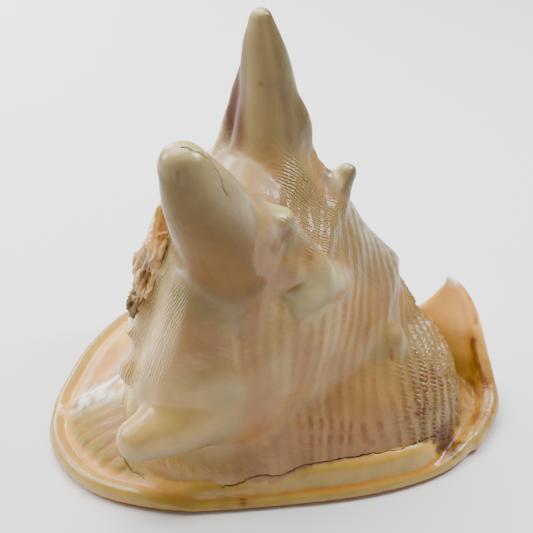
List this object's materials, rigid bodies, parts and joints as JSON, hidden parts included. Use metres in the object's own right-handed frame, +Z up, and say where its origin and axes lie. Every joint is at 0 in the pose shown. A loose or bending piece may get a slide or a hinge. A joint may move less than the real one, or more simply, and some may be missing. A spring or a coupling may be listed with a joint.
{
  "type": "horned helmet shell",
  "caption": "Large horned sea shell with a knobbed whorl, rolled lip and shield, upturned canal and a long toothed aperture underneath, resting on its flat face.",
  "frame": {"origin": "centre of the bounding box in plan, at the height of the flat sole the shell rests on", "axes": "+Z up, away from the sole; +X from the spire end towards the upturned canal; -Y towards the outer lip, the side with the low horn"},
  "size_m": [0.2236, 0.1822, 0.2081],
  "materials": {
    "shell_cream": "glossy natural shell, cream with pinkish brown bands and an orange-brown lip line"
  },
  "bodies": {
    "root": {"helmet_shell": "shell_cream"}
  },
  "joints": []
}
